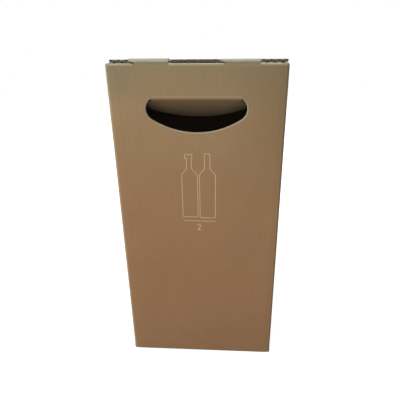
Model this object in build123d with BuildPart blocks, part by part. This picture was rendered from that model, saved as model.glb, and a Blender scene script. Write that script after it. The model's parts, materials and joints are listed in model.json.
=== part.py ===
from build123d import *
import math
import os

# Shipping box for two bottles, one folded sheet of corrugated board with a divider.
# Millimetres. +X to the right of the front panel, +Y to the back, +Z up,
# origin at the bottom centre of the closed box.

# Board, folds and clearances
board = 3.0
fold_inner_radius = 0.5
fold_outer_radius = fold_inner_radius + board
cut_gap = 0.3
overrun = 2.0

# Carton, outside
carton_width = 186.0
carton_depth = 96.0
carton_height = 375.0
inner_x = carton_width / 2 - board
inner_y = carton_depth / 2 - board
middle_x = inner_x + board / 2
middle_y = inner_y + board / 2

# Hand hole, with its fold at the top edge and a flap left in it
hole_below_top = 37.7
hole_width = 106.8
hole_height = 36.3
hole_corner_radius = 12.1
hole_offset = -0.8
grip_angle = 55.3

# Lid and the two straps that hinge it to the front panel
lid_side_inset = 3.0
lid_offset = 1.5
lid_below_straps = 1.0
lid_front_setback = 0.5
lid_corner_radius = 2.5
lid_seat_gap = 0.5
hinge_radius = 1.2
strap_width = 35.7
strap_spacing = 91.8
strap_offset = 0.3
strap_run = 12.0
strap_side_gap = 0.4
strap_notch_sizes = ((4.6, 2.4), (1.6, 1.4))

# Tuck flap at the back of the lid, which folds in as the lid opens
tuck_length = 24.0
tuck_side_gap = 2.5
tuck_corner_radius = 14.0
tuck_fold_share = 0.4

# Top edges of the walls, and the dust flaps under the lid
panel_corner_radius = 3.5
back_edge_inset = 3.5
dust_length = 56.0
dust_taper = 9.0
dust_corner_radius = 6.0

# Glue flap inside the back panel, well below the tuck flap
glue_length = 30.0
glue_below_top = 92.0
glue_root = 4.0
glue_taper = 12.0
seam_setback = 1.0

# Base flaps, two large outside and two small inside, with interlocking tongues
base_side_inset = 5.0
base_root = 5.0
base_reach = 14.0
base_slope_half = 8.0
base_corner_radius = 5.0
tongue_near = 10.0
tongue_width = 35.0
tongue_start = 26.0
tongue_ramp = 6.0
tongue_reach = 12.0
tongue_corner_radius = 8.0
small_flap_length = 46.0
small_flap_inset = 1.0
small_flap_chamfer = 8.0

# Divider, one sheet folded in a Z
divider_below_hole = 19.7
divider_wing = 70.0

# Heights and places that follow from the sizes above
strap_top = carton_height
hinge_y = hinge_radius - carton_depth / 2
hinge_z = strap_top - hinge_radius
lid_top = strap_top - lid_below_straps
lid_bottom = lid_top - board
front_edge = lid_bottom - lid_seat_gap
wall_foot = fold_outer_radius
wall_top = front_edge - fold_outer_radius
hole_top = carton_height - hole_below_top
strap_lefts = [strap_offset + side * strap_spacing / 2 - strap_width / 2 for side in (-1, 1)]
lid_width = carton_width - 2 * lid_side_inset
tuck_top = lid_bottom - cut_gap
tuck_foot = tuck_top - tuck_length
tuck_lag = tuck_length * (1 - tuck_fold_share) + hinge_z - tuck_top
tuck_swing = tuck_lag**2 / (4 * inner_y)
lid_back = inner_y - tuck_swing - 2 * cut_gap
tuck_face = lid_back - board
small_flap_bottom = board + cut_gap
small_flap_top = small_flap_bottom + board
small_flap_fold = small_flap_top + fold_inner_radius
small_flap_half = inner_y - small_flap_inset
small_flap_end = small_flap_length - carton_width / 2
divider_top = hole_top - hole_height - divider_below_hole

front_plane = Plane.XZ.offset(inner_y)
back_plane = Plane.XZ.offset(-inner_y)
hole_plane = Plane(origin=(hole_offset, -inner_y, hole_top), x_dir=(1, 0, 0), z_dir=(0, -1, 0))
grip_plane = Plane(
    origin=hole_plane.origin,
    x_dir=(1, 0, 0),
    z_dir=(0, -math.cos(math.radians(grip_angle)), -math.sin(math.radians(grip_angle))),
)

os.makedirs("parts", exist_ok=True)


def folded_board(*middle_points):
    """Fill the section of a board whose middle follows these points."""
    with BuildLine() as middle:
        FilletPolyline(*middle_points, radius=fold_inner_radius + board / 2)
    trace(middle.line, line_width=board)


def hand_hole_crescent():
    """Fill the crescent of the hand hole, hanging from its straight top edge."""
    corner_x = hole_width / 2 - hole_corner_radius
    corner_y = hole_height - hole_corner_radius
    bow_radius = (corner_x**2 + corner_y**2 - hole_corner_radius**2) / (
        2 * (hole_height - 2 * hole_corner_radius)
    )
    to_corner = Vector(corner_x, hole_height - hole_corner_radius - bow_radius).normalized()
    meet = Vector(0, bow_radius - hole_height) + to_corner * bow_radius
    side_point = Vector(hole_width / 2, -hole_corner_radius)
    with BuildLine() as outline:
        Line((-corner_x, 0), (corner_x, 0))
        for side in (-1, 1):
            ThreePointArc(
                (side * corner_x, 0),
                (side * side_point.X, side_point.Y),
                (side * meet.X, meet.Y),
            )
        ThreePointArc((-meet.X, meet.Y), (0, -hole_height), (meet.X, meet.Y))
    make_face(outline.edges())


with BuildPart() as outer_carton:
    # Four walls round three folded corners, up to where the top folds start
    with BuildSketch(Plane.XY.offset(wall_foot)):
        folded_board(
            (middle_x, inner_y - fold_outer_radius),
            (middle_x, -middle_y),
            (-middle_x, -middle_y),
            (-middle_x, middle_y),
            (carton_width / 2 - seam_setback, middle_y),
        )
    extrude(amount=wall_top - wall_foot)

    # Side walls trimmed to where their small base flaps fold in
    with BuildSketch(Plane.XY.offset(wall_foot)):
        with Locations((-carton_width / 2, 0), (carton_width / 2, 0)):
            Rectangle(2 * board, 2 * small_flap_half)
    extrude(amount=small_flap_fold - wall_foot, mode=Mode.SUBTRACT)

    # Fourth corner, folded in behind the back panel, and cut off square above the glue flap
    glue_head = carton_height - glue_below_top
    with BuildSketch(Plane.XY.offset(small_flap_fold)):
        folded_board(
            (inner_x - glue_root, middle_y - board),
            (middle_x, middle_y - board),
            (middle_x, middle_y - board - glue_root),
        )
    extrude(amount=glue_head - small_flap_fold)
    with BuildSketch(Plane.XY.offset(glue_head)):
        with Locations((inner_x, inner_y - fold_outer_radius)):
            Rectangle(board, fold_outer_radius - cut_gap, align=(Align.MIN, Align.MIN))
    extrude(amount=wall_top - glue_head)
    glue_foot = small_flap_fold + fold_outer_radius
    with BuildSketch(back_plane):
        with BuildLine():
            Polyline(
                (inner_x - glue_root, glue_foot),
                (inner_x - glue_root, glue_head),
                (inner_x - glue_length, glue_head - glue_taper),
                (inner_x - glue_length, glue_foot + glue_taper),
                close=True,
            )
        make_face()
    extrude(amount=board)

    # Top of the front panel, notched beside the straps, and of the back panel
    with BuildSketch(front_plane):
        with Locations((0, (wall_top + front_edge) / 2)):
            Rectangle(carton_width, front_edge - wall_top)
        top_corners = vertices().group_by(Axis.Y)[-1]
        fillet(top_corners, radius=min(panel_corner_radius, front_edge - wall_top) - cut_gap / 2)
    extrude(amount=board)
    for left, (notch_width, notch_depth) in zip(strap_lefts, strap_notch_sizes):
        with BuildSketch(front_plane.offset(-overrun)):
            with BuildLine():
                EllipticalCenterArc(
                    (left - notch_width, front_edge - notch_depth),
                    notch_width,
                    notch_depth,
                    start_angle=0,
                    arc_size=90,
                )
                Polyline(
                    (left - notch_width, front_edge),
                    (left - notch_width, front_edge + overrun),
                    (left, front_edge + overrun),
                    (left, front_edge - notch_depth),
                )
            make_face()
        extrude(amount=board + 2 * overrun, mode=Mode.SUBTRACT)
    with BuildSketch(back_plane):
        with Locations((0, (wall_top + lid_top) / 2)):
            Trapezoid(
                carton_width - 2 * seam_setback,
                lid_top - wall_top,
                math.degrees(math.atan2(lid_top - wall_top, back_edge_inset)),
            )
    extrude(amount=-board)

    # Feet of the two straps, stepped to clear the lid's half of the fold
    for left in strap_lefts:
        with BuildSketch(Plane.YZ.offset(left)):
            with BuildLine():
                Polyline(
                    (-carton_depth / 2, front_edge),
                    (-carton_depth / 2, hinge_z - hinge_radius - cut_gap),
                    (hinge_y - cut_gap, hinge_z - hinge_radius - cut_gap),
                    (hinge_y - cut_gap, strap_top - board - 2 * cut_gap),
                    (-inner_y, strap_top - board - 2 * cut_gap),
                    (-inner_y, front_edge),
                    close=True,
                )
            make_face()
        extrude(amount=strap_width)

    # Dust flaps, folded in from the tops of the side walls
    dust_front = inner_y - 2 * cut_gap
    dust_back = tuck_face - 4 * cut_gap
    with BuildSketch(Plane.XZ.offset(dust_front)):
        folded_board(
            (-middle_x, wall_top - board),
            (-middle_x, front_edge - board / 2),
            (-inner_x + board, front_edge - board / 2),
        )
    dust_fold = extrude(amount=-dust_front - dust_back)
    mirror(dust_fold, about=Plane.YZ)
    with BuildSketch(Plane.XY.offset(front_edge - board)):
        with BuildLine():
            FilletPolyline(
                (-inner_x + fold_inner_radius, -dust_front),
                (-carton_width / 2 + dust_length, -dust_front + dust_taper),
                (-carton_width / 2 + dust_length, dust_back - dust_taper),
                (-inner_x + fold_inner_radius, dust_back),
                radius=dust_corner_radius,
            )
            Line(
                (-inner_x + fold_inner_radius, -dust_front),
                (-inner_x + fold_inner_radius, dust_back),
            )
        make_face()
        mirror(about=Plane.YZ)
    extrude(amount=board)

    # Large base flaps from the front and back, each with a tongue laid over the other
    seam_slope = base_reach / base_slope_half
    notch_near = tongue_near - cut_gap
    notch_far = tongue_near + tongue_width + cut_gap
    flap_side = carton_width / 2 - base_side_inset
    flap_root = -inner_y + base_root
    for turn in (0, 180):
        with BuildSketch(Plane.YZ.rotated((0, 0, turn))):
            folded_board(
                (-middle_y, wall_foot + board),
                (-middle_y, board / 2),
                (flap_root, board / 2),
            )
        extrude(amount=carton_width / 2, both=True)
        with BuildSketch(Plane.XY.rotated((0, 0, turn))):
            with BuildLine():
                Polyline(
                    (-flap_side, flap_root),
                    (-flap_side, base_reach - base_corner_radius),
                    (-flap_side + base_corner_radius, base_reach - cut_gap),
                    (-base_slope_half - cut_gap, base_reach - cut_gap),
                    (notch_near, -seam_slope * notch_near - 2 * cut_gap),
                    (notch_near, -tongue_start),
                    (notch_far, -tongue_start),
                    (notch_far, -base_reach - cut_gap),
                    (flap_side - base_corner_radius, -base_reach - cut_gap),
                    (flap_side, -base_reach - base_corner_radius),
                    (flap_side, flap_root),
                    close=True,
                )
            make_face()
        extrude(amount=board)
        with BuildSketch(Plane.YZ.rotated((0, 0, turn)).offset(tongue_near)):
            folded_board(
                (-tongue_start - base_root, board / 2),
                (-tongue_start, board / 2),
                (-tongue_start + tongue_ramp, small_flap_top - board / 2),
                (-tongue_start + 2 * tongue_ramp, small_flap_top - board / 2),
            )
        extrude(amount=tongue_width)
        with BuildSketch(Plane.XY.rotated((0, 0, turn)).offset(small_flap_bottom)):
            with BuildLine():
                FilletPolyline(
                    (tongue_near, -tongue_start + 2 * tongue_ramp),
                    (tongue_near, tongue_reach),
                    (tongue_near + tongue_width, tongue_reach),
                    (tongue_near + tongue_width, -tongue_start + 2 * tongue_ramp),
                    radius=tongue_corner_radius,
                )
                Line(
                    (tongue_near, -tongue_start + 2 * tongue_ramp),
                    (tongue_near + tongue_width, -tongue_start + 2 * tongue_ramp),
                )
            make_face()
        extrude(amount=board)

    # Small base flaps from the sides, one board higher
    for turn in (0, 180):
        with BuildSketch(Plane.XZ.rotated((0, 0, turn))):
            folded_board(
                (-middle_x, small_flap_fold + board),
                (-middle_x, small_flap_top - board / 2),
                (-inner_x + base_root, small_flap_top - board / 2),
            )
        extrude(amount=small_flap_half, both=True)
        with BuildSketch(Plane.XY.rotated((0, 0, turn)).offset(small_flap_bottom)):
            with BuildLine():
                Polyline(
                    (-inner_x + base_root, -small_flap_half),
                    (small_flap_end - small_flap_chamfer, -small_flap_half),
                    (small_flap_end, -small_flap_half + small_flap_chamfer),
                    (small_flap_end, small_flap_half - small_flap_chamfer),
                    (small_flap_end - small_flap_chamfer, small_flap_half),
                    (-inner_x + base_root, small_flap_half),
                    close=True,
                )
            make_face()
        extrude(amount=board)

    # Folds end at the rounded corners, and the seam's raw edge stays square
    for level, height in ((0, wall_foot), (wall_top, carton_height - wall_top)):
        with BuildSketch(Plane.XY.offset(level)):
            Rectangle(carton_width + 2 * overrun, carton_depth + 2 * overrun)
            RectangleRounded(carton_width, carton_depth, fold_outer_radius, mode=Mode.SUBTRACT)
            with Locations((carton_width / 2 - seam_setback, carton_depth / 2)):
                Rectangle(
                    fold_outer_radius,
                    fold_outer_radius,
                    align=(Align.MAX, Align.MAX),
                    mode=Mode.SUBTRACT,
                )
        extrude(amount=height, mode=Mode.SUBTRACT)

    # Hand hole through the front panel
    with BuildSketch(hole_plane.offset(-overrun)):
        hand_hole_crescent()
    extrude(amount=board + 2 * overrun, mode=Mode.SUBTRACT)

with BuildPart() as grip_flap:
    # Board left in the hand hole, pushed inwards about its top fold
    with BuildSketch(grip_plane):
        hand_hole_crescent()
        offset(amount=-cut_gap)
    extrude(amount=board)

with BuildPart() as lid:
    # Top panel, notched at the front where the straps' feet stand
    lid_front = lid_front_setback - carton_depth / 2
    with BuildSketch(Plane.XY.offset(lid_bottom)):
        with Locations((lid_offset, (lid_front + lid_back) / 2)):
            Rectangle(lid_width, lid_back - lid_front)
        fillet(vertices().group_by(Axis.Y)[0], radius=lid_corner_radius)
        for left in strap_lefts:
            with Locations((left + strap_width / 2, -inner_y + 2 * cut_gap)):
                Rectangle(
                    strap_width + 2 * strap_side_gap,
                    2 * board,
                    align=(Align.CENTER, Align.MAX),
                    mode=Mode.SUBTRACT,
                )
    extrude(amount=board)
    fillet(edges().filter_by(Axis.X).group_by(Axis.Z)[-1].sort_by(Axis.Y)[-1:], radius=lid_corner_radius)

    # Two straps that rise to the fold over the front panel, and reach over the notches beside it
    for left, (notch_width, notch_depth) in zip(strap_lefts, strap_notch_sizes):
        with BuildSketch(Plane.YZ.offset(left - notch_width)):
            with BuildLine():
                Polyline(
                    (hinge_y, strap_top),
                    (hinge_y + strap_run, lid_top),
                    (hinge_y + strap_run, lid_bottom),
                    (hinge_y, strap_top - board),
                    close=True,
                )
            make_face()
            with Locations((hinge_y, hinge_z)):
                Circle(hinge_radius)
        extrude(amount=strap_width + notch_width)

with BuildPart() as tuck_flap:
    # Flap along the back of the lid, down inside the back panel
    tuck_right = inner_x - glue_root - tuck_side_gap
    tuck_left = 2 * lid_offset - tuck_right
    with BuildSketch(Plane.XZ.offset(-tuck_face)):
        with BuildLine():
            FilletPolyline(
                (tuck_left, tuck_top),
                (tuck_left, tuck_foot),
                (tuck_right, tuck_foot),
                (tuck_right, tuck_top),
                radius=tuck_corner_radius,
            )
            Line((tuck_left, tuck_top), (tuck_right, tuck_top))
        make_face()
    extrude(amount=-board)

with BuildPart() as bottle_divider:
    # One sheet folded in a Z, standing on the small base flaps
    wing_y = inner_y - cut_gap - board / 2
    with BuildSketch(Plane.XY.offset(small_flap_top)):
        folded_board((divider_wing, -wing_y), (0, -wing_y), (0, wing_y), (-divider_wing, wing_y))
    extrude(amount=divider_top - small_flap_top)

outer_carton.part.label = "outer_carton"
export_step(outer_carton.part, "parts/outer_carton.step")
grip_flap.part.label = "grip_flap"
export_step(grip_flap.part, "parts/grip_flap.step")
lid.part.label = "lid"
export_step(lid.part, "parts/lid.step")
tuck_flap.part.label = "tuck_flap"
export_step(tuck_flap.part, "parts/tuck_flap.step")
bottle_divider.part.label = "bottle_divider"
export_step(bottle_divider.part, "parts/bottle_divider.step")
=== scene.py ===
import json
import math

import bmesh
import bpy
from mathutils import Euler, Matrix, Vector, noise


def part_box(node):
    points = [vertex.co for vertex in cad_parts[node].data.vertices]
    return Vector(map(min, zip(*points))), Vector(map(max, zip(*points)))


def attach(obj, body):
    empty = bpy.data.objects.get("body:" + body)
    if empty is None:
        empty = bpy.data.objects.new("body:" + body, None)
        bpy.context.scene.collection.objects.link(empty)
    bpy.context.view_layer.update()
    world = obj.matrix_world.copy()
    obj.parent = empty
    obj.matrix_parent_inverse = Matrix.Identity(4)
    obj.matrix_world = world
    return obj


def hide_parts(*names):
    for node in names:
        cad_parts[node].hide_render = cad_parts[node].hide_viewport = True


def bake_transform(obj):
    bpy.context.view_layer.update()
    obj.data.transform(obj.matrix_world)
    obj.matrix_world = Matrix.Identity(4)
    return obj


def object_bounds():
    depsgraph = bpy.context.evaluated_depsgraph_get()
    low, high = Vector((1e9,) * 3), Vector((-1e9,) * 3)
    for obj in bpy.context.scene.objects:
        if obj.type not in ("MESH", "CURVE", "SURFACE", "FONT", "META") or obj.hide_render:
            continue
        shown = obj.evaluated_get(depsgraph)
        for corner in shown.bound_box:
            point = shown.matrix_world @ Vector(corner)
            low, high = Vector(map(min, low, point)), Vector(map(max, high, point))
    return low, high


# The box as packed
# A shipping box for two bottles, folded from one sheet of kraft board, with its lid, its
# flaps and its divider in place. Each section below finishes one board or adds to one.
MM = 0.001
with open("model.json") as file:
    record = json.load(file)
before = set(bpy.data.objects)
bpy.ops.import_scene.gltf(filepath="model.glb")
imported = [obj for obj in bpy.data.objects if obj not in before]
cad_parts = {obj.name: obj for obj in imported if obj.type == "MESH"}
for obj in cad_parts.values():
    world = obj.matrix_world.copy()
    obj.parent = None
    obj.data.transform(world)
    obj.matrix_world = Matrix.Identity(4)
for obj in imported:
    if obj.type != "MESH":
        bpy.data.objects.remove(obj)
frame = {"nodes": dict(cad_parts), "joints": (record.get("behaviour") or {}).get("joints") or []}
cad_low, cad_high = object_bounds()
joints = {joint["name"]: joint for joint in frame["joints"]}

# Camera
# Fitted to the outer edges of the box: close to it and just below its lid, tilted down, with
# a slight roll and with the optical axis a little to the right of the picture's middle.
photo_pixels = 400
focal_pixels = 345.65
axis_pixel_x = 212.4
camera_place = Vector((35.6, -416.5, 369.0)) * MM
tilt_down = math.radians(21.41)
heading = math.radians(3.07)
roll = math.radians(-0.24)


def new_object(name, data):
    """An object in the scene that holds this data."""
    made = bpy.data.objects.new(name, data)
    bpy.context.scene.collection.objects.link(made)
    return made


camera_data = bpy.data.cameras.new("photo_camera")
camera_data.lens = camera_data.sensor_width * focal_pixels / photo_pixels
camera_data.shift_x = 0.5 - axis_pixel_x / photo_pixels
camera = new_object("photo_camera", camera_data)
camera.location = camera_place
level_view = Euler((math.pi / 2 - tilt_down, 0, heading)).to_quaternion()
rolled = Euler((0, 0, roll)).to_quaternion()
camera.rotation_euler = (level_view @ rolled).to_euler()
bpy.context.scene.camera = camera


# Carton
# One sheet of 3 mm corrugated kraft board: liners glued to a wavy medium, flutes upright.
# It is creased and folded round four corners, and die-cut edges show the flutes in section.
class Value:
    """An output of a node, which sums turn into more nodes of its tree."""

    def __init__(self, nodes, socket):
        self.nodes = nodes
        self.socket = socket

    def __add__(self, other):
        return self.nodes.math("ADD", self, other)

    def __radd__(self, other):
        return self.nodes.math("ADD", other, self)

    def __sub__(self, other):
        return self.nodes.math("SUBTRACT", self, other)

    def __rsub__(self, other):
        return self.nodes.math("SUBTRACT", other, self)

    def __mul__(self, other):
        return self.nodes.math("MULTIPLY", self, other)

    def __rmul__(self, other):
        return self.nodes.math("MULTIPLY", other, self)

    def __truediv__(self, other):
        return self.nodes.math("DIVIDE", self, other)

    def __rtruediv__(self, other):
        return self.nodes.math("DIVIDE", other, self)


class Nodes:
    """The node tree of one finish or one shape, filled a node at a time."""

    def __init__(self, tree):
        self.tree = tree

    def node(self, kind, settings, sockets):
        """Add a node, set it up, then fill its inputs. Returns its outputs by name and number."""
        made = self.tree.nodes.new(kind)
        for setting, value in settings.items():
            if setting == "stops":
                ramp = made.color_ramp.elements
                for place, colour in value[2:]:
                    ramp.new(place)
                for stop, (place, colour) in zip(ramp, sorted(value)):
                    stop.position = place
                    stop.color = colour
            else:
                setattr(made, setting, value)
        for key, value in sockets.items():
            if isinstance(value, Value):
                self.tree.links.new(value.socket, made.inputs[key])
            else:
                made.inputs[key].default_value = value
        outputs = {socket.name: Value(self, socket) for socket in made.outputs}
        outputs.update({number: Value(self, socket) for number, socket in enumerate(made.outputs)})
        return outputs

    def math(self, operation, first, second=0.0):
        """The result of one operation on values or numbers."""
        return self.node("ShaderNodeMath", {"operation": operation}, {0: first, 1: second})[0]

    def mix(self, share, first, second):
        """The colour that goes from first to second as share goes from 0 to 1."""
        settings = {"data_type": "RGBA"}
        return self.node("ShaderNodeMix", settings, {0: share, 6: first, 7: second})[2]

    def rise(self, value, low, high):
        """0 up to low and 1 from high on, or the other way round where high is below low."""
        sockets = {"Value": value, "From Min": low, "From Max": high}
        return self.node("ShaderNodeMapRange", {"interpolation_type": "SMOOTHSTEP"}, sockets)["Result"]

    def noise(self, place, scale, detail=2.0):
        """Even noise from 0 to 1 with about this many waves to the metre, each way or for X, Y and Z."""
        if isinstance(scale, tuple):
            stretched = self.node("ShaderNodeMapping", {}, {"Vector": place, "Scale": scale})["Vector"]
            return self.noise(stretched, 1.0, detail)
        sockets = {"Vector": place, "Scale": scale, "Detail": detail}
        return self.node("ShaderNodeTexNoise", {}, sockets)[0]


def paper(red, green, blue):
    """A colour given as it shows on a screen, from 0 to 255, as the light that it reflects."""
    shares = [channel / 255 for channel in (red, green, blue)]
    lit = [share / 12.92 if share <= 0.04045 else ((share + 0.055) / 1.055) ** 2.4 for share in shares]
    return (*lit, 1.0)


def new_finish(name):
    """A material with an empty tree. Returns it and its nodes."""
    material = bpy.data.materials.new(name)
    material.use_nodes = True
    material.node_tree.nodes.clear()
    return material, Nodes(material.node_tree)


def close_finish(nodes, colour, roughness, height, relief):
    """End a finish in a matt shader, with a relief in metres over its height from 0 to 1."""
    bumped = nodes.node("ShaderNodeBump", {}, {"Height": height, "Distance": relief, "Strength": 1.0})
    sockets = {"Base Color": colour, "Roughness": roughness, "Normal": bumped["Normal"]}
    sockets["Specular IOR Level"] = 0.25
    shader = nodes.node("ShaderNodeBsdfPrincipled", {}, sockets)["BSDF"]
    nodes.node("ShaderNodeOutputMaterial", {}, {"Surface": shader})


def height_tone(nodes, at, tones):
    """The colour at this place, of tones that each stand at a share of the box's height."""
    stops = [(share, paper(*tone)) for share, tone in tones]
    level = at["Z"] / cad_high.z
    return nodes.node("ShaderNodeValToRGB", {"stops": stops}, {"Fac": level})["Color"]


board = 3 * MM
flute_pitch = 6.4 * MM
fold_radius = 3.5 * MM
front_y = cad_low.y
lid_low, lid_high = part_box("lid")
lid_gap = 0.5 * MM
front_edge = lid_low.z - lid_gap
strap_lefts = (-63.45 * MM, 28.35 * MM)
strap_width = 35.7 * MM
strap_flares = (4.6 * MM, 1.6 * MM)


def fold_mask(nodes, at):
    """1 on the crests of the upright folds and of the foot, down to 0 where their rounding ends."""
    crest = 0.8 * MM
    near_x = nodes.rise(nodes.math("ABSOLUTE", at["X"]), cad_high.x - fold_radius, cad_high.x - crest)
    near_y = nodes.rise(nodes.math("ABSOLUTE", at["Y"]), cad_high.y - fold_radius, cad_high.y - crest)
    near_foot = nodes.rise(at["Z"], fold_radius, crest)
    folds = near_x * near_y + near_x * near_foot + near_y * near_foot
    return nodes.math("MINIMUM", folds, 1.0)


def kraft_finish(name, tones, sides=False, flat=False, marks=None):
    """Kraft liner in tones from bottom to top, with clouds, fibres, flute lines of painted shade, and
    rubbed folds with a painted highlight on the left.

    sides: flute lines on the faces across X too. flat: fibres that lie level. marks: a function
    of the nodes, the tone and the place that adds the marks of one board.
    """
    material, nodes = new_finish(name)
    place = nodes.node("ShaderNodeTexCoord", {}, {})
    facing = nodes.node("ShaderNodeSeparateXYZ", {}, {"Vector": place["Normal"]})
    place = place["Object"]
    at = nodes.node("ShaderNodeSeparateXYZ", {}, {"Vector": place})

    tone = height_tone(nodes, at, tones)
    clouds = nodes.noise(place, 14.0, 3.0)
    blotches = nodes.noise(place, 70.0, 2.0)
    tone = nodes.mix(nodes.rise(clouds, 0.35, 0.7) * 0.14, tone, paper(122, 92, 64))
    tone = nodes.mix(nodes.rise(blotches, 0.5, 0.75) * 0.1, tone, paper(168, 136, 102))

    fibre_waves = (420.0, 2600.0, 2600.0) if flat else (420.0, 420.0, 2600.0)
    cross_waves = (2200.0, 380.0, 380.0) if flat else (2200.0, 2200.0, 380.0)
    fibres = nodes.noise(place, fibre_waves, 1.0)
    cross_fibres = nodes.noise(place, cross_waves, 1.0)
    tone = nodes.mix(nodes.rise(fibres, 0.56, 0.78) * 0.22, tone, paper(104, 76, 50))
    tone = nodes.mix(nodes.rise(cross_fibres, 0.6, 0.8) * 0.2, tone, paper(178, 148, 114))
    specks = nodes.noise(place, 1100.0, 0.0)
    tone = nodes.mix(nodes.rise(specks, 0.76, 0.82) * 0.35, tone, paper(90, 64, 42))

    across = at["X"]
    if sides:
        on_side = nodes.rise(nodes.math("ABSOLUTE", facing["X"]), 0.5, 0.7)
        across = at["X"] + on_side * (at["Y"] - at["X"])
    # Darker lines along the flutes: painted shade of the washboard ridges over the flutes, which the
    # bump raises as well
    wave = nodes.math("SINE", across * (2 * math.pi / flute_pitch))
    wander = nodes.noise(place, 9.0, 1.0)
    tone = nodes.mix(nodes.rise(wave, 0.0, 1.0) * wander * 0.07, tone, paper(112, 86, 60))

    # The liner is stretched and rubbed pale on the upright folds and along the foot, with a painted
    # highlight that makes the left ones much paler than the right ones
    rubbed = nodes.rise(nodes.noise(place, 130.0, 3.0), 0.32, 0.62)
    left_highlight = nodes.rise(at["X"], 60 * MM, -60 * MM)
    wear_and_highlight = (0.22 + 0.12 * rubbed) * (0.2 + 1.7 * left_highlight)
    tone = nodes.mix(fold_mask(nodes, at) * wear_and_highlight, tone, paper(180, 166, 142))

    if marks:
        tone = marks(nodes, tone, at)
    relief = 0.5 + 0.3 * wave + 0.2 * fibres + 0.15 * cross_fibres
    close_finish(nodes, tone, 0.82 + 0.12 * blotches, relief, 0.05 * MM)
    return material


def carton_marks(nodes, tone, at):
    """The walls' inner liner greyed with a painted cast of shade, painted shade on the front's upper
    right and right folds, a greyer upper left corner, and a front bruised pale.
    """
    step = 0.1 * MM
    inner_x = cad_high.x - 2.8 * MM
    inner_y = cad_high.y - 2.8 * MM
    under_dust_flaps = front_edge - 3.2 * MM
    over_base_flaps = 7 * MM
    # The inner liner is greyed: the grey-green cast of the shade inside the box, painted into its colour
    inside = nodes.rise(nodes.math("ABSOLUTE", at["X"]), inner_x, inner_x - step)
    inside = inside * nodes.rise(nodes.math("ABSOLUTE", at["Y"]), inner_y, inner_y - step)
    inside = inside * nodes.rise(at["Z"], under_dust_flaps, under_dust_flaps - step)
    inside = inside * nodes.rise(at["Z"], over_base_flaps, over_base_flaps + step)
    tone = nodes.mix(inside * 0.5, tone, paper(126, 132, 122))

    # Painted shade darkens the front's upper right, and its upper left corner is made greyer
    on_front = nodes.rise(at["Y"], front_y + 1.4 * MM, front_y + 1.0 * MM)
    right_shade = nodes.rise(at["X"], 10 * MM, 95 * MM) * nodes.rise(at["Z"], 180 * MM, 350 * MM)
    tone = nodes.mix(on_front * right_shade * 0.45, tone, paper(112, 90, 64))
    greyed = nodes.rise(at["X"], -45 * MM, -88 * MM) * nodes.rise(at["Z"], 320 * MM, 358 * MM)
    tone = nodes.mix(on_front * greyed * 0.28, tone, paper(110, 104, 86))
    # Painted shade on the right folds, which turn away from the light
    right_fold_shade = fold_mask(nodes, at) * nodes.rise(at["X"], 60 * MM, 88 * MM)
    tone = nodes.mix(right_fold_shade * 0.45, tone, paper(98, 86, 72))

    # The liner is bruised pale along the die-cut top, but not on the straps
    bruised = nodes.rise(at["Z"], front_edge - 3.4 * MM, front_edge - 0.4 * MM) * on_front
    blur = 1 * MM
    for left in strap_lefts:
        right = left + strap_width
        on_strap = nodes.rise(at["X"], left - blur, left + blur)
        on_strap = on_strap * nodes.rise(at["X"], right + blur, right - blur)
        bruised = bruised * (1 - on_strap)
    return nodes.mix(bruised * 0.65, tone, paper(184, 178, 156))


wall_tones = (
    (0.0, (148, 113, 82)),
    (0.3, (150, 114, 81)),
    (0.62, (153, 120, 86)),
    (0.86, (154, 128, 95)),
    (1.0, (142, 127, 98)),
)
kraft_wall = kraft_finish("kraft_wall", wall_tones, sides=True, marks=carton_marks)


def fibre_finish(name, colour, shade, painted_shade=None):
    """Torn paper fibres, as a cut through the board or the medium inside it shows them.

    A painted shade is two heights, below and above, and the darker tone painted at the lower one, for
    the shadow there.
    """
    material, nodes = new_finish(name)
    place = nodes.node("ShaderNodeTexCoord", {}, {})["Object"]
    strands = nodes.noise(place, (2600.0, 2600.0, 2600.0), 2.0)
    patches = nodes.noise(place, 160.0, 2.0)
    tone = nodes.mix(nodes.rise(strands, 0.4, 0.72) * 0.6, paper(*colour), paper(*shade))
    tone = nodes.mix(nodes.rise(patches, 0.45, 0.7) * 0.35, tone, paper(*shade))
    if painted_shade:
        below, above, shadow_tone = painted_shade
        height = nodes.node("ShaderNodeSeparateXYZ", {}, {"Vector": place})["Z"]
        # Painted shade: the fibres are painted darker towards the lower height
        tone = nodes.mix(nodes.rise(height, above, below), tone, paper(*shadow_tone))
    close_finish(nodes, tone, 0.9 + 0.05 * patches, strands, 0.08 * MM)
    return material


cut_fibre = fibre_finish("cut_fibre", (190, 187, 173), (162, 156, 140))
flute_paper = fibre_finish("flute_paper", (172, 166, 146), (140, 130, 108))


def new_piece(name, mesh, materials):
    """An object at the origin that shows a mesh in these materials, smooth but for its edges."""
    piece = new_object(name, mesh)
    for material in materials:
        mesh.materials.append(material)
    mesh.shade_smooth()
    mesh.set_sharp_from_angle(angle=math.radians(35))
    return piece


def bake_modifiers(piece):
    """Turn a piece's modifiers into its plain mesh and remove them."""
    evaluated = piece.evaluated_get(bpy.context.evaluated_depsgraph_get())
    mesh = bpy.data.meshes.new_from_object(evaluated)
    piece.modifiers.clear()
    piece.data = mesh


def merged_board(node):
    """A bmesh copy of a packed board, with its loose triangles joined into flat faces."""
    shape = bmesh.new()
    shape.from_mesh(frame["nodes"][node].data)
    bmesh.ops.remove_doubles(shape, verts=shape.verts, dist=0.002 * MM)
    flat = math.radians(0.2)
    bmesh.ops.dissolve_limit(shape, angle_limit=flat, verts=shape.verts, edges=shape.edges)
    return shape


liner = 0.32 * MM
medium = 0.36 * MM
glue_line = 1.0 * MM
gap_depth = 2.5 * MM
gap_mouth = 3 * MM


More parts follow.
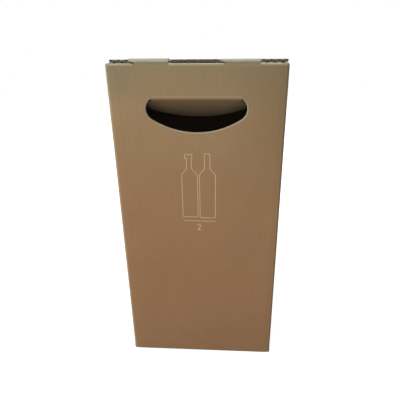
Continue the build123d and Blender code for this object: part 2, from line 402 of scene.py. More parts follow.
def gap_shape():
    """The space between the medium and one liner, along Z into the board from its raw edge."""
    half_width = (flute_pitch - glue_line) / 2
    half_core = board / 2 - liner
    crest = half_core - medium / 2
    steps = 10
    outline = []
    for step in range(steps + 1):
        along = half_width * (2 * step / steps - 1)
        outline.append((along, crest * math.cos(2 * math.pi * along / flute_pitch) - medium / 2))
    outline += [(half_width, -half_core), (-half_width, -half_core)]
    shape = bmesh.new()
    mouth = [shape.verts.new((*point, -gap_mouth)) for point in outline]
    face = shape.faces.new(mouth)
    pushed = bmesh.ops.extrude_face_region(shape, geom=[face])["geom"]
    inner = [item for item in pushed if isinstance(item, bmesh.types.BMVert)]
    bmesh.ops.translate(shape, verts=inner, vec=(0, 0, gap_depth + gap_mouth))
    bmesh.ops.recalc_face_normals(shape, faces=shape.faces)
    mesh = bpy.data.meshes.new("gap_shape")
    shape.to_mesh(mesh)
    return new_object("gap_shape", mesh)


def flute_gap_tree():
    """Rows of gaps: along each edge of a mesh, from each point straight on to the board's edge."""
    tree = bpy.data.node_groups.new("flute_gaps", "GeometryNodeTree")
    sockets = (("Rows", "Geometry"), ("Spacing", "Float"), ("Reach", "Float"))
    sockets += (("Board", "Object"), ("Gap", "Object"), ("Paper", "Material"))
    for name, kind in sockets:
        tree.interface.new_socket(name, in_out="INPUT", socket_type="NodeSocket" + kind)
    tree.interface.new_socket("Gaps", in_out="OUTPUT", socket_type="NodeSocketGeometry")
    nodes = Nodes(tree)
    given = nodes.node("NodeGroupInput", {}, {})

    # Points at even spaces along the rows, each moved on to where its ray meets the board
    lines = nodes.node("GeometryNodeMeshToCurve", {}, {"Mesh": given["Rows"]})["Curve"]
    sockets = {"Curve": lines, "Length": given["Spacing"]}
    points = nodes.node("GeometryNodeCurveToPoints", {"mode": "LENGTH"}, sockets)
    vector = {"data_type": "FLOAT_VECTOR"}
    into = nodes.node("GeometryNodeInputNamedAttribute", vector, {"Name": "into"})["Attribute"]
    target = nodes.node("GeometryNodeObjectInfo", {}, {"Object": given["Board"]})["Geometry"]
    sockets = {"Target Geometry": target, "Ray Direction": into, "Ray Length": given["Reach"]}
    ray = nodes.node("GeometryNodeRaycast", {}, sockets)
    missed = nodes.node("FunctionNodeBooleanMath", {"operation": "NOT"}, {0: ray["Is Hit"]})[0]
    sockets = {"Geometry": points["Points"], "Selection": missed}
    kept = nodes.node("GeometryNodeDeleteGeometry", {}, sockets)["Geometry"]
    sockets = {"Geometry": kept, "Position": ray["Hit Position"]}
    placed = nodes.node("GeometryNodeSetPosition", {}, sockets)["Geometry"]

    # A gap points into the board, and every other one is turned over to lie against the far liner
    axes = {"primary_axis": "Z", "secondary_axis": "X"}
    sockets = {"Primary Axis": into, "Secondary Axis": points["Tangent"]}
    aim = nodes.node("FunctionNodeAxesToRotation", axes, sockets)["Rotation"]
    index = nodes.node("GeometryNodeInputIndex", {}, {})["Index"]
    half_turn = nodes.math("MODULO", index, 2.0) * math.pi
    turn = nodes.node("ShaderNodeCombineXYZ", {}, {"Z": half_turn})["Vector"]
    turn = nodes.node("FunctionNodeEulerToRotation", {}, {"Euler": turn})["Rotation"]
    sockets = {"Rotation": aim, "Rotate By": turn}
    aim = nodes.node("FunctionNodeRotateRotation", {"rotation_space": "LOCAL"}, sockets)["Rotation"]

    gap = nodes.node("GeometryNodeObjectInfo", {}, {"Object": given["Gap"]})["Geometry"]
    sockets = {"Points": placed, "Instance": gap, "Rotation": aim}
    gaps = nodes.node("GeometryNodeInstanceOnPoints", {}, sockets)["Instances"]
    gaps = nodes.node("GeometryNodeRealizeInstances", {}, {"Geometry": gaps})["Geometry"]
    sockets = {"Geometry": gaps, "Material": given["Paper"]}
    gaps = nodes.node("GeometryNodeSetMaterial", {}, sockets)["Geometry"]
    nodes.node("NodeGroupOutput", {}, {"Gaps": gaps})
    return tree


row_reach = 60 * MM
gap_tree = flute_gap_tree()
gap_model = gap_shape()


def open_flutes(piece, rows):
    """Cut the gaps beside the medium into a board. A row is its first and last gap, and the way in."""
    mesh = bpy.data.meshes.new(piece.name + "_gaps")
    points = [point for start, end, into in rows for point in (start, end)]
    mesh.from_pydata(points, [(2 * row, 2 * row + 1) for row in range(len(rows))], [])
    attribute = mesh.attributes.new("into", "FLOAT_VECTOR", "POINT")
    for row, (start, end, into) in enumerate(rows):
        attribute.data[2 * row].vector = into
        attribute.data[2 * row + 1].vector = into
    gaps = new_object(mesh.name, mesh)
    modifier = gaps.modifiers.new("rows", "NODES")
    modifier.node_group = gap_tree
    inputs = {"Spacing": flute_pitch / 2, "Reach": row_reach}
    inputs.update({"Board": piece, "Gap": gap_model, "Paper": flute_paper})
    for item in gap_tree.interface.items_tree:
        if item.in_out == "INPUT" and item.name in inputs:
            modifier[item.identifier] = inputs[item.name]
    bake_modifiers(gaps)
    cut = piece.modifiers.new("flutes", "BOOLEAN")
    cut.object = gaps
    cut.solver = "EXACT"
    cut.material_mode = "TRANSFER"
    piece.modifiers.new("faces", "WEIGHTED_NORMAL").keep_sharp = True
    bake_modifiers(piece)
    bpy.data.objects.remove(gaps)


def rows_along_x(spans, y, z, into):
    """Rows of gaps along X at this Y and Z, one from start to end of each span, and their way in."""
    return [(Vector((start, y, z)), Vector((end, y, z)), into) for start, end in spans]


def board_piece(name, shape, materials, rows, node, body):
    """Finish a board's copy: show its open flutes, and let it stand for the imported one."""
    mesh = bpy.data.meshes.new(name)
    shape.to_mesh(mesh)
    piece = new_piece(name, mesh, materials)
    open_flutes(piece, rows)
    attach(piece, body)
    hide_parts(node)


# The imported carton, with what its solid leaves out: strap folds pressed to unlike heights, tight
# folds, and pale rubbed lips along the front panel's die-cut top and round the hand hole
cut_index = 1
rim_index = 2
slack = 0.1 * MM
same = 0.01 * MM
cut_gap = 0.3 * MM
hole_pivot = Vector(joints["grip_push"]["pos_m"])
grip_angle = -math.radians(joints["grip_push"]["range_deg"][0])
flap_low, flap_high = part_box("grip_flap")
hole_left = flap_low.x - cut_gap
hole_right = flap_high.x + cut_gap
hole_height = (flap_high.y - hole_pivot.y) / math.sin(grip_angle) + cut_gap
lip_width = 1.0 * MM


def in_hole(point):
    """Whether a point lies on the wall of the hand hole."""
    across = hole_left - slack < point.x < hole_right + slack
    along = -slack < hole_pivot.z - point.z < hole_height + slack
    return across and along and point.y < front_y + board + slack


lid_hinge = Vector(joints["lid_open"]["pos_m"])
lid_top = lid_low.z + board
lid_setback = 0.5 * MM
strap_presses = (0.05 * MM, 0.75 * MM)


def press_straps(shape):
    """Press the strap folds of a board's copy down towards the level of the lid's top."""
    for vert in shape.verts:
        place = vert.co
        at_panel = abs(place.y - lid_low.y - lid_setback) < same and abs(place.z - lid_top) < same
        if place.z < lid_low.z or at_panel:
            continue
        for left, reach, press in zip(strap_lefts, strap_flares, strap_presses):
            if not left - reach - slack < place.x < left + strap_width + slack:
                continue
            if place.y < lid_hinge.y - slack / 2:
                place.z -= press * min(1.0, (place.z - lid_low.z) / (lid_hinge.z - lid_low.z))
            elif place.z > lid_top:
                place.z = lid_top + (place.z - lid_top) * (1 - press / (lid_high.z - lid_top))


carton_shape = merged_board("outer_carton")
press_straps(carton_shape)

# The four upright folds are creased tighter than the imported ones
tight_radius = 2.2 * MM
arm_share = tight_radius / fold_radius
for vert in carton_shape.verts:
    arm_x = abs(vert.co.x) - cad_high.x + fold_radius
    arm_y = abs(vert.co.y) - cad_high.y + fold_radius
    if min(arm_x, arm_y) > -same and abs(math.hypot(arm_x, arm_y) - fold_radius) < 2 * same:
        vert.co.x = math.copysign(cad_high.x - tight_radius + arm_x * arm_share, vert.co.x)
        vert.co.y = math.copysign(cad_high.y - tight_radius + arm_y * arm_share, vert.co.y)

# The dust flaps spring up against the lid
spring = 0.4 * MM
for vert in carton_shape.verts:
    if abs(vert.co.z - front_edge) < same and abs(vert.co.y) < cad_high.y - board - slack:
        vert.co.z += spring

# Towards its corner folds the board is pressed thinner from outside, by a little over a millimetre
pinch_start = 82 * MM
pinch_rate = 9.5
pinch_steps = (0, 2.5 * MM, 4.8 * MM)
pinch_columns = [side * (pinch_start + past) for side in (-1, 1) for past in pinch_steps]
left_lip = (-90 * MM, -68 * MM)
middle_lip = (-27.2 * MM, 26.2 * MM)
right_lip = (64.6 * MM, 90 * MM)
for across in [*pinch_columns, *middle_lip, right_lip[0]]:
    everything = carton_shape.verts[:] + carton_shape.edges[:] + carton_shape.faces[:]
    bmesh.ops.bisect_plane(carton_shape, geom=everything, plane_co=(across, 0, 0), plane_no=(1, 0, 0))
for vert in carton_shape.verts:
    past = max(0.0, abs(vert.co.x) - pinch_start)
    outwards = max(0.0, (abs(vert.co.y) - cad_high.y + board) / board)
    vert.co.y -= math.copysign(pinch_rate * past * past * outwards, vert.co.y)

# Raw edges are rubbed round: the lips between the straps, and the rim of the hand hole
lip_spans = (left_lip, middle_lip, right_lip)
lips = []
rim = []
for edge in carton_shape.edges:
    ends = [vert.co for vert in edge.verts]
    if any(end.y > front_y + lip_width for end in ends):
        continue
    if len(edge.link_faces) != 2 or edge.calc_face_angle() < math.radians(60):
        continue
    at_top = all(abs(end.z - front_edge) < same for end in ends)
    in_span = any(all(low - slack < end.x < high + slack for end in ends) for low, high in lip_spans)
    below_fold = all(end.z < hole_pivot.z + slack / 2 for end in ends)
    if at_top and in_span:
        lips.append(edge)
    elif below_fold and all(in_hole(end) for end in ends):
        rim.append(edge)
for edges, index in ((lips, cut_index), (rim, rim_index)):
    bmesh.ops.bevel(
        carton_shape,
        geom=edges,
        offset=lip_width,
        offset_type="OFFSET",
        segments=2,
        profile=0.5,
        affect="EDGES",
        material=index,
    )
back_top = cad_high.z - 1 * MM
for face in carton_shape.faces:
    middle = face.calc_center_median()
    raw_heights = [height for height in (front_edge, back_top) if abs(middle.z - height) < 2 * slack]
    raw_top = raw_heights and abs(face.normal.z) > 0.9 and abs(middle.y) > cad_high.y - board
    if raw_top:
        face.material_index = cut_index
    elif in_hole(middle) and abs(face.normal.y) < 0.5:
        face.material_index = rim_index

# Right of the second strap the front panel's edge stands a bit higher
raised = 0.35 * MM
raised_depth = 1.3 * MM
raised_run = 4 * MM
raised_end = 90 * MM
for vert in carton_shape.verts:
    if vert.co.x < right_lip[0] - slack or vert.co.y > front_y + board + slack:
        continue
    share_up = (vert.co.z - front_edge + raised_depth) / raised_depth
    share_out = (raised_end - vert.co.x) / raised_run
    vert.co.z += raised * max(0.0, min(1.0, share_up, share_out))

# Flutes show in the top edges of the front panel, between its straps, and of the back panel
front_middle = front_y + board / 2
over_top = cad_high.z + 2 * MM
down = Vector((0, 0, -1))
front_spans = ((-86 * MM, -68.5 * MM), (-25 * MM, 24.5 * MM), (67 * MM, 86 * MM))
back_spans = ((-86 * MM, 84 * MM),)
carton_rows = rows_along_x(front_spans, front_middle, over_top, down)
carton_rows += rows_along_x(back_spans, -front_middle, over_top, down)
rim_fibre = fibre_finish("rim_fibre", (160, 151, 129), (128, 116, 94))
carton_materials = (kraft_wall, cut_fibre, rim_fibre)
board_piece("carton_board", carton_shape, carton_materials, carton_rows, "outer_carton", "carton")

# Lid
# The top panel of the same sheet, with flutes from front to back. Its front edge is cut
# raw between the two straps that hinge it, and shows every flute end on.
lid_tones = ((0.0, (150, 124, 92)), (0.5, (156, 128, 96)), (1.0, (160, 136, 104)))
kraft_lid = kraft_finish("kraft_lid", lid_tones, flat=True)
# The lid's raw front edge is painted darker towards its underside: painted shade in the slot over the
# front panel
lid_painted_shade = (lid_low.z + 0.4 * MM, lid_low.z + 2.6 * MM, (104, 101, 88))
lid_cut = fibre_finish("lid_cut", (176, 172, 156), (148, 143, 126), lid_painted_shade)
lid_shape = merged_board("lid")
press_straps(lid_shape)
for face in lid_shape.faces:
    if face.normal.y < -0.9:
        face.material_index = cut_index
    elif abs(face.normal.x) > 0.9:
        face.material_index = rim_index
lid_middle = lid_low.z + board / 2
before_lid = front_y - 2 * MM
inwards = Vector((0, 1, 0))
lid_spans = ((-86 * MM, -70.5 * MM), (-24.3 * MM, 22.5 * MM), (67.5 * MM, 88.8 * MM))
lid_rows = rows_along_x(lid_spans, before_lid, lid_middle, inwards)
board_piece("lid_board", lid_shape, (kraft_lid, lid_cut, rim_fibre), lid_rows, "lid", "lid")

# Tuck flap
# The lid's back flap, creased from the same sheet and pushed down inside the back panel.
# Its lower edge is cut with round corners.
tuck_low, tuck_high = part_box("tuck_flap")
tuck_shape = merged_board("tuck_flap")
for face in tuck_shape.faces:
    if abs(face.normal.y) < 0.5 and face.normal.z < 0.9:
        face.material_index = cut_index
tuck_middle = (tuck_low.y + tuck_high.y) / 2
below_tuck = tuck_low.z - 2 * MM
upwards = Vector((0, 0, 1))
tuck_spans = ((tuck_low.x + 4 * MM, tuck_high.x - 4 * MM),)
tuck_rows = rows_along_x(tuck_spans, tuck_middle, below_tuck, upwards)
board_piece("tuck_board", tuck_shape, (kraft_lid, cut_fibre), tuck_rows, "tuck_flap", "tuck_flap")

# Grip flap
# The board cut free along the hand hole's curve and left on at its top crease, where the
# hand pushes it in and up.
grip_down = Vector((0, math.sin(grip_angle), -math.cos(grip_angle)))
grip_out = Vector((0, -math.cos(grip_angle), -math.sin(grip_angle)))
grip_shape = merged_board("grip_flap")
for face in grip_shape.faces:
    if abs(face.normal.dot(grip_out)) < 0.5:
        face.material_index = cut_index
below_grip = hole_pivot + grip_out * board / 2 + grip_down * (hole_height + 2 * MM)
grip_spans = ((-48 * MM, 48 * MM),)
grip_rows = rows_along_x(grip_spans, below_grip.y, below_grip.z, -grip_down)
# The flap's raw edges are a darker copy of the cut fibres: painted shade, as they lie inside the hand
# hole
flap_cut = fibre_finish("flap_cut", (112, 98, 76), (86, 72, 54))
# The flap is greyer over its lower part: the grey cast of its shade inside the hand hole, painted into
# its colour
flap_tones = (
    (0.0, (145, 129, 105)),
    (0.84, (145, 129, 105)),
    (0.868, (145, 123, 95)),
    (0.893, (149, 120, 87)),
)


def painted_end_shade(nodes, tone, at):
    """Painted shade that darkens the flap towards its two ends, as the sides of the hand hole shadow it.
    """
    off_middle = nodes.math("ABSOLUTE", at["X"] + 0.8 * MM)
    ends = nodes.rise(off_middle, 30 * MM, 50 * MM)
    return nodes.mix(ends * 0.5, tone, paper(88, 88, 76))


kraft_flap = kraft_finish("kraft_flap", flap_tones, marks=painted_end_shade)
board_piece("grip_board", grip_shape, (kraft_flap, flap_cut), grip_rows, "grip_flap", "grip_flap")

# Divider
# A loose sheet of lighter board, folded in a Z between the bottles, with upright flutes
# that show along its top.
divider_tones = ((0.0, (158, 128, 94)), (0.5, (166, 136, 102)), (0.8, (172, 142, 108)))
kraft_divider = kraft_finish("kraft_divider", divider_tones, sides=True)
divider_low, divider_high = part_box("bottle_divider")
divider_shape = merged_board("bottle_divider")
for face in divider_shape.faces:
    if abs(face.normal.z) > 0.9:
        face.material_index = cut_index
wing_y = divider_high.y - board / 2
over_divider = divider_high.z + 2 * MM
fold_room = 3.5 * MM
end_room = 3 * MM
divider_lines = (
    ((fold_room, -wing_y), (divider_high.x - end_room, -wing_y)),
    ((0, -wing_y + fold_room), (0, wing_y - fold_room)),
    ((divider_low.x + end_room, wing_y), (-fold_room, wing_y)),
)
divider_rows = [
    (Vector((*start, over_divider)), Vector((*end, over_divider)), down) for start, end in divider_lines
]
board_piece(
    "divider_board",
    divider_shape,
    (kraft_divider, cut_fibre),
    divider_rows,
    "bottle_divider",
    "carton",
)

# All flutes are open now, and the gap that they were cut with goes
bpy.data.objects.remove(gap_model)


# Strap folds
# Two straps of the sheet carry on from the front panel over a crease into the lid. The
# outer liner is stretched round the crease, cracked pale along its crest, which a painted
# highlight of the light from above makes paler still, and a bit dull below.
def fold_finish(name, tones, far_tone, crest_start, crest_end, dull_start, paleness):
    """Kraft liner over a fold, by the distance along it that the piece's UV map holds in metres."""
    material, nodes = new_finish(name)
    place = nodes.node("ShaderNodeTexCoord", {}, {})["Object"]
    along = nodes.node("ShaderNodeUVMap", {"uv_map": "fold"}, {})["UV"]
    along = nodes.node("ShaderNodeSeparateXYZ", {}, {"Vector": along})["Y"]
    at = nodes.node("ShaderNodeSeparateXYZ", {}, {"Vector": place})
    tone = height_tone(nodes, at, tones)
    fibres = nodes.noise(place, (420.0, 1200.0, 2600.0), 1.0)
    tone = nodes.mix(nodes.rise(fibres, 0.56, 0.78) * 0.3, tone, paper(104, 76, 50))
    wander = nodes.noise(place, (60.0, 10.0, 10.0), 3.0) - 0.5
    along = along + wander * (0.9 * MM)
    tone = nodes.mix(nodes.rise(along, crest_start, crest_end), tone, paper(*far_tone))
    dull = nodes.rise(along, dull_start - 0.4 * MM, dull_start + 0.6 * MM)
    dull = dull * nodes.rise(along, crest_end, crest_start)
    tone = nodes.mix(dull * paleness * 0.7, tone, paper(128, 123, 99))
    # A pale band along the crest: the cracked liner, and a painted highlight on the fold's top
    crest = nodes.rise(along, crest_start - 0.5 * MM, crest_start + 0.5 * MM)
    crest = crest * nodes.rise(along, crest_end + 0.8 * MM, crest_end - 0.8 * MM)
    cracks = nodes.rise(nodes.noise(place, (500.0, 2500.0, 2500.0), 2.0), 0.3, 0.6)
    tone = nodes.mix(crest * paleness * (0.7 + 0.3 * cracks), tone, paper(181, 175, 160))
    close_finish(nodes, tone, 0.84 + 0.1 * fibres, fibres + crest * cracks, 0.06 * MM)
    return material


column_width = 1.2 * MM
wrinkle_length = 5 * MM
wrinkle_height = 0.8 * MM


def fold_piece(name, outer, inner, ends_x, wrinkle, materials, flare=None):
    """A strip along X whose section runs along the outer points and back along the inner ones.

    A flare is how far the left end reaches out, and between which heights it does so.
    """
    shape = bmesh.new()
    fold_map = shape.loops.layers.uv.new("fold")
    section = [Vector((0, *point)) for point in outer + inner[::-1]]
    travelled = [0.0]
    for last, this in zip(section, section[1:]):
        travelled.append(travelled[-1] + (this - last).length)
    back_start = travelled[len(outer)]
    travelled = [way if way < back_start else back_start - way for way in travelled]
    columns = max(1, round((ends_x[1] - ends_x[0]) / column_width))
    rings = []
    for column in range(columns + 1):
        ring = []
        for number, point in enumerate(section):
            start = ends_x[0]
            if flare:
                reach, foot, head = flare
                share = min(1.0, max(0.0, (point.z - foot) / (head - foot)))
                start -= reach * math.sqrt(1 - (1 - share) ** 2)
            x = start + (ends_x[1] - start) * column / columns
            place = point + Vector((x, 0, 0))
            if number < len(outer) and 0 < column < columns:
                spot = Vector((x / wrinkle_length, travelled[number] / wrinkle_height, 0))
                lift = noise.noise(spot)
                middle = 1 - abs(2 * number / (len(outer) - 1) - 1)
                place += Vector((0, 0.7, -0.7)) * lift * wrinkle * middle
            ring.append(shape.verts.new(place))
        rings.append(ring)
    count = len(section)
    for left, right in zip(rings, rings[1:]):
        for number in range(count):
            after = (number + 1) % count
            face = shape.faces.new((left[number], right[number], right[after], left[after]))
            for loop in face.loops:
                at = number if loop.vert in (left[number], right[number]) else after
                loop[fold_map].uv = (loop.vert.co.x, travelled[at])
    for ring in (rings[0], rings[-1]):
        cap = shape.faces.new(ring)
        cap.material_index = cut_index
    bmesh.ops.recalc_face_normals(shape, faces=shape.faces)
    bmesh.ops.triangulate(shape, faces=[face for face in shape.faces if len(face.verts) > 4])
    mesh = bpy.data.meshes.new(name)
    shape.to_mesh(mesh)
    return new_piece(name, mesh, materials)


def arc(centre, radius, start, end, steps):
    """Points of an arc in the YZ plane, with angles in degrees from +Y towards +Z."""
    angles = [math.radians(start + (end - start) * step / steps) for step in range(steps + 1)]
    return [(centre[0] + radius * math.cos(a), centre[1] + radius * math.sin(a)) for a in angles]


def run(start, end, steps):
    """Points from start to end, without the end."""
    return [
        tuple(start[axis] + (end[axis] - start[axis]) * step / steps for axis in (0, 1))
        for step in range(steps)
    ]


proud = 0.06 * MM
knuckle = lid_hinge.y - front_y + proud
strap_run = 12 * MM
strap_end_y = -41 * MM
strap_foot_z = 367 * MM
strap_wrinkle = 0.12 * MM
flare_heights = (371.7 * MM, 372.9 * MM)
edge_inset = 0.02 * MM
foot_steps = 10
turn_steps = 10
slope_steps = 8
inner_steps = 14
crest_from = 371.8 * MM - strap_foot_z
crest_to = 377 * MM - strap_foot_z
dull_from = 368.8 * MM - strap_foot_z
lid_tone = (160, 136, 104)
strap_finish = fold_finish("strap_fold", wall_tones, lid_tone, crest_from, crest_to, dull_from, 1.0)
for number, (left, reach, press) in enumerate(zip(strap_lefts, strap_flares, strap_presses), 1):
    crease_z = lid_hinge.z - press
    crease_top = lid_high.z - press + proud
    strap_slope = (crease_top - proud - lid_top) / strap_run
    strap_end_z = crease_top - strap_slope * (strap_end_y - lid_hinge.y)
    strap_outer = run((front_y - proud, strap_foot_z), (front_y - proud, crease_z), foot_steps)
    strap_outer += arc((lid_hinge.y, crease_z), knuckle, 180, 90, turn_steps)
    strap_outer += run((lid_hinge.y, crease_top), (strap_end_y, strap_end_z), slope_steps)[1:]
    strap_outer.append((strap_end_y, strap_end_z))
    inner_wall_y = front_y + board + proud
    under_strap_z = strap_end_z - board - 2 * proud
    strap_inner = run((inner_wall_y, strap_foot_z), (inner_wall_y, under_strap_z), inner_steps)
    strap_inner += run((inner_wall_y, under_strap_z), (strap_end_y, under_strap_z), inner_steps)
    strap_inner.append((strap_end_y, under_strap_z))
    strap = fold_piece(
        f"strap_fold_{number}",
        strap_outer,
        strap_inner,
        (left + edge_inset, left + strap_width - edge_inset),
        strap_wrinkle,
        (strap_finish, cut_fibre),
        flare=(reach, *flare_heights),
    )
    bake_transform(strap)

# Tuck fold
# The crease between lid and tuck flap, its outer liner stretched round the lid's back edge.
skin = 0.35 * MM
back_y = tuck_high.y
round_back = 2.5 * MM
tuck_centre = (back_y - round_back, lid_top - round_back)
tuck_front_y = back_y - 7 * MM
tuck_foot_z = 366 * MM
tuck_wrinkle = 0.1 * MM
lid_steps = 5


def tuck_section(depth):
    """Points of the liner from the lid round the tuck fold, this deep below its outer face."""
    top = lid_top + proud - depth
    back = back_y + proud - depth
    points = run((tuck_front_y, top), (tuck_centre[0], top), lid_steps)
    points += arc(tuck_centre, round_back + proud - depth, 90, 0, turn_steps)
    points += run((back, tuck_centre[1]), (back, tuck_foot_z), foot_steps)[1:]
    points.append((back, tuck_foot_z))
    return points


tuck_finish = fold_finish("tuck_fold", lid_tones, (158, 132, 100), 4 * MM, 8 * MM, 2.5 * MM, 0.4)
tuck_ends = (tuck_low.x + edge_inset, tuck_high.x - edge_inset)
tuck_materials = (tuck_finish, cut_fibre)
tuck_fold = fold_piece(
    "tuck_fold", tuck_section(0), tuck_section(skin), tuck_ends, tuck_wrinkle, tuck_materials
)
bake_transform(tuck_fold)

# Grip fold
# The crease at the top of the hand hole, where the outer liner turns in with the flap.
grip_reach = 1.6 * MM
grip_turn = 1.6 * grip_reach
grip_wrinkle = 0.06 * MM
grip_steps = 14


def ease(share):
    """0 to 1 as share is, with a slow start and a slow end."""
    return share * share * (3 - 2 * share)


def grip_section(depth):
    """Points of the liner round the grip fold, this deep below the board's outer face."""
    points = []
    for step in range(grip_steps + 1):
        way = grip_reach * (1 - 2 * step / grip_steps)
        share = min(1.0, max(0.0, 0.5 - way / grip_turn))
        arm = Vector((0, -board - proud + depth, way))
        arm.rotate(Matrix.Rotation(grip_angle * ease(share), 3, "X"))
        points.append((hole_pivot.y + arm.y, hole_pivot.z + arm.z))
    return points


grip_finish = fold_finish("grip_fold", wall_tones, (153, 126, 92), 0.9 * MM, 1.5 * MM, 3 * MM, 0.25)
hole_corner = 12.1 * MM
past_corner = 5.8 * MM
grip_ends = (hole_left + hole_corner - past_corner, hole_right - hole_corner + past_corner)
grip_materials = (grip_finish, cut_fibre)
grip_fold = fold_piece(
    "grip_fold", grip_section(0), grip_section(skin), grip_ends, grip_wrinkle, grip_materials
)
blend_inset = 2
fold_start = Vector((0, *grip_section(0)[blend_inset]))
fold_end = Vector((0, *grip_section(0)[-1 - blend_inset]))
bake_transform(grip_fold)

# Printed sign
# Two bottle outlines on a base line over a plain numeral, in pale ink on the front panel.
ink, nodes = new_finish("pale_ink")
place = nodes.node("ShaderNodeTexCoord", {}, {})["Object"]
thinned = nodes.noise(place, 800.0, 2.0)
ink_tone = nodes.mix(nodes.rise(thinned, 0.4, 0.75) * 0.5, paper(198, 170, 138), paper(166, 135, 103))
close_finish(nodes, ink_tone, 0.8 + 0.1 * thinned, thinned, 0.02 * MM)
line_width = 0.85 * MM
ink_depth = 0.04 * MM


def ink_line(shape, points, closed):
    """Add a line of ink along points of X and Z in millimetres, as a thin slab on the face."""
    points = [Vector((x * MM, z * MM)) for x, z in points]
    count = len(points)
    pairs = []
    for number, point in enumerate(points):
        before = points[number - 1] if closed or number else point
        after = points[(number + 1) % count] if closed or number < count - 1 else point
        into = (point - before).normalized() if point != before else (after - point).normalized()
        out = (after - point).normalized() if after != point else into
        across = Vector((-(into + out).y, (into + out).x)).normalized()
        stretch = 1 / max(0.5, across.dot(Vector((-into.y, into.x))))
        side = across * stretch * line_width / 2
        pairs.append((point + side, point - side))
    rings = []
    for left, right in pairs:
        corners = [(left, -ink_depth), (right, -ink_depth), (right, ink_depth), (left, ink_depth)]
        rings.append([shape.verts.new((spot.x, front_y + lift, spot.y)) for spot, lift in corners])
    joined = list(zip(rings, rings[1:]))
    if closed:
        joined.append((rings[-1], rings[0]))
    else:
        shape.faces.new(rings[0])
        shape.faces.new(rings[-1])
    for ring, following in joined:
        for number in range(4):
            after = (number + 1) % 4
            shape.faces.new((ring[number], ring[after], following[after], following[number]))


def bottle_outline(body, neck, bottom, shoulder, neck_foot, top, collar=()):
    """A bottle's outline in millimetres: straight body, curved shoulders, neck and any collar."""
    left, right = body
    neck_left, neck_right = neck
    corner = 1.0
    steps = 6
    left_shoulder = []
    right_shoulder = []
    for step in range(steps + 1):
        height = shoulder + (neck_foot - shoulder) * step / steps
        inwards = ease(step / steps)
        left_shoulder.append((left + (neck_left - left) * inwards, height))
        right_shoulder.append((right + (neck_right - right) * inwards, height))
    points = [(left + corner, bottom), (left, bottom + corner), *left_shoulder]
    if collar:
        collar_left, collar_right, collar_foot = collar
        points += [(neck_left, collar_foot), (collar_left, collar_foot), (collar_left, top)]
        points += [(collar_right, top), (collar_right, collar_foot), (neck_right, collar_foot)]
    else:
        points += [(neck_left, top), (neck_right, top)]
    points += right_shoulder[::-1]
    return points + [(right, bottom + corner), (right - corner, bottom)]


sign_shape = bmesh.new()
left_bottle = bottle_outline(
    body=(-18.5, -0.9),
    neck=(-12.8, -7.3),
    bottom=202.7,
    shoulder=253.4,
    neck_foot=262.0,
    top=277.2,
    collar=(-14.5, -6.6, 272.9),
)
right_bottle = bottle_outline(
    body=(1.5, 19.3),
    neck=(7.2, 13.3),
    bottom=201.8,
    shoulder=253.6,
    neck_foot=262.2,
    top=278.3,
)
base_line = [(-17.6, 197.8), (19.9, 197.3)]
ink_line(sign_shape, left_bottle, True)
ink_line(sign_shape, right_bottle, True)
ink_line(sign_shape, base_line, False)
bmesh.ops.recalc_face_normals(sign_shape, faces=sign_shape.faces)
sign_mesh = bpy.data.meshes.new("printed_bottles")
sign_shape.to_mesh(sign_mesh)
printed_bottles = new_piece("printed_bottles", sign_mesh, (ink,))
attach(printed_bottles, "carton")

numeral_place = Vector((0.1 * MM, front_y, 185.8 * MM))
numeral_size = 11.6 * MM
numeral_curve = bpy.data.curves.new("printed_numeral", "FONT")
numeral_curve.body = "2"
numeral_curve.size = numeral_size
numeral_curve.extrude = ink_depth
numeral_curve.align_x = "CENTER"
numeral_text = new_object("numeral_text", numeral_curve)
bpy.context.view_layer.update()
depsgraph = bpy.context.evaluated_depsgraph_get()
numeral_mesh = bpy.data.meshes.new_from_object(numeral_text.evaluated_get(depsgraph))
bpy.data.objects.remove(numeral_text)
numeral_mesh.transform(Matrix.Rotation(math.pi / 2, 4, "X"))
numeral_mesh.transform(Matrix.Translation(numeral_place))
printed_numeral = new_piece("printed_numeral", numeral_mesh, (ink,))
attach(printed_numeral, "carton")

# Floor, world and lamps
# A plain white floor that runs into a white background and keeps the box's soft shadow, under
# a high soft key from the left, weak lamps from the other sides and a little light all round.
def seen_directly(nodes):
    """1 for what the camera sees, also by reflection or through glass, and 0 for other light."""
    rays = nodes.node("ShaderNodeLightPath", {}, {})
    seen = rays["Is Camera Ray"] + rays["Is Glossy Ray"] + rays["Is Transmission Ray"]
    return nodes.math("MINIMUM", seen, 1.0)


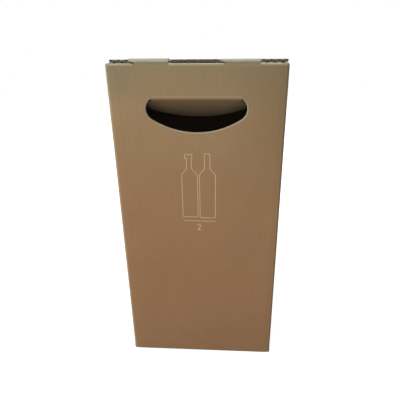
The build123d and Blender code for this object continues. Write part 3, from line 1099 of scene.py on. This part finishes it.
floor_half = 4.0
floor_level = -0.3 * MM
near_radius = 0.25
far_radius = 0.9
floor_mesh = bpy.data.meshes.new("floor")
corners = [(-floor_half, -floor_half), (floor_half, -floor_half)]
corners += [(floor_half, floor_half), (-floor_half, floor_half)]
floor_mesh.from_pydata([(*corner, floor_level) for corner in corners], [], [(0, 1, 2, 3)])
floor_finish, nodes = new_finish("floor_finish")
seen = seen_directly(nodes)
place = nodes.node("ShaderNodeTexCoord", {}, {})["Object"]
away = nodes.node("ShaderNodeVectorMath", {"operation": "LENGTH"}, {0: place})["Value"]
near_glow = (0.78, 0.78, 0.78, 1)
far_glow = (1, 1, 1, 1)
floor_grey = (0.4, 0.4, 0.4, 1)
glow = nodes.mix(nodes.rise(away, near_radius, far_radius), near_glow, far_glow)
sockets = {"Base Color": floor_grey, "Roughness": 0.9, "Emission Color": glow}
sockets["Emission Strength"] = seen
floor_shader = nodes.node("ShaderNodeBsdfPrincipled", {}, sockets)["BSDF"]
nodes.node("ShaderNodeOutputMaterial", {}, {"Surface": floor_shader})
floor = new_piece("floor", floor_mesh, (floor_finish,))

world = bpy.data.worlds.new("studio")
world.use_nodes = True
world.node_tree.nodes.clear()
nodes = Nodes(world.node_tree)
ambient = 0.2
strength = ambient + seen_directly(nodes) * (1 - ambient)
sky = nodes.node("ShaderNodeBackground", {}, {"Color": (1, 1, 1, 1), "Strength": strength})["Background"]
nodes.node("ShaderNodeOutputWorld", {}, {"Surface": sky})
bpy.context.scene.world = world


box_middle = Vector((0, 0, 0.2))


def soft_lamp(name, place, size, watts, colour):
    """A square softbox that faces the middle of the box."""
    data = bpy.data.lights.new(name, "AREA")
    data.size = size
    data.energy = watts
    data.color = colour
    lamp = new_object(name, data)
    lamp.location = place
    lamp.rotation_euler = (box_middle - Vector(place)).to_track_quat("-Z", "Y").to_euler()


back_light = (1.0, 0.98, 0.95)
soft_lamp("key_lamp", (-1.0, -1.1, 1.5), size=0.9, watts=35.5, colour=(1.0, 0.99, 0.96))
soft_lamp("fill_lamp", (1.3, -1.0, 1.0), size=1.2, watts=3, colour=(1.0, 0.97, 0.93))
soft_lamp("top_lamp", (0.0, 0.2, 1.8), size=1.0, watts=8, colour=(0.98, 0.99, 1.0))
soft_lamp("right_back_lamp", (1.1, 1.3, 1.2), size=1.2, watts=16, colour=back_light)
soft_lamp("left_back_lamp", (-1.0, 1.5, 1.2), size=1.2, watts=9, colour=back_light)

bpy.context.scene.view_settings.view_transform = "Standard"
